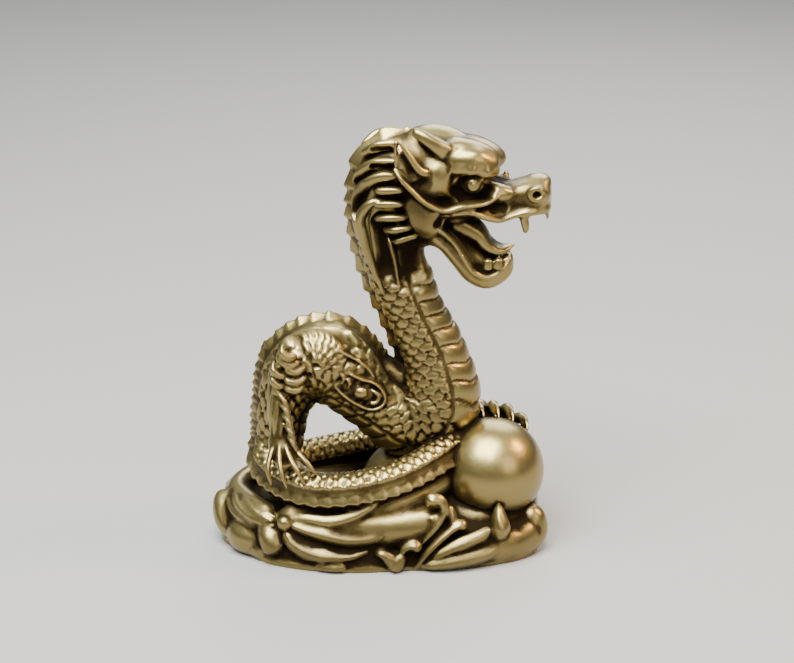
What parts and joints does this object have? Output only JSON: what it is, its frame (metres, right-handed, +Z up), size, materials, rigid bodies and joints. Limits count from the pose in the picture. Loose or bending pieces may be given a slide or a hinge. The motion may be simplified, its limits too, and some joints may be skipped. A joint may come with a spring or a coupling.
{
  "type": "brass dragon figurine",
  "caption": "Small cast brass dragon that rears up from a low base of waves, with its tail coiled round it and a ball under its claw.",
  "frame": {"origin": "on the table, under the middle of the base", "axes": "+Z up, +X the way the dragon looks, -Y the side of its right flank"},
  "size_m": [0.0452, 0.027, 0.058],
  "materials": {
    "brass": "cast brass with an olive brown patina, dark in the hollows and rubbed bright on the high points"
  },
  "bodies": {
    "root": {"dragon_casting": "brass"}
  },
  "joints": []
}
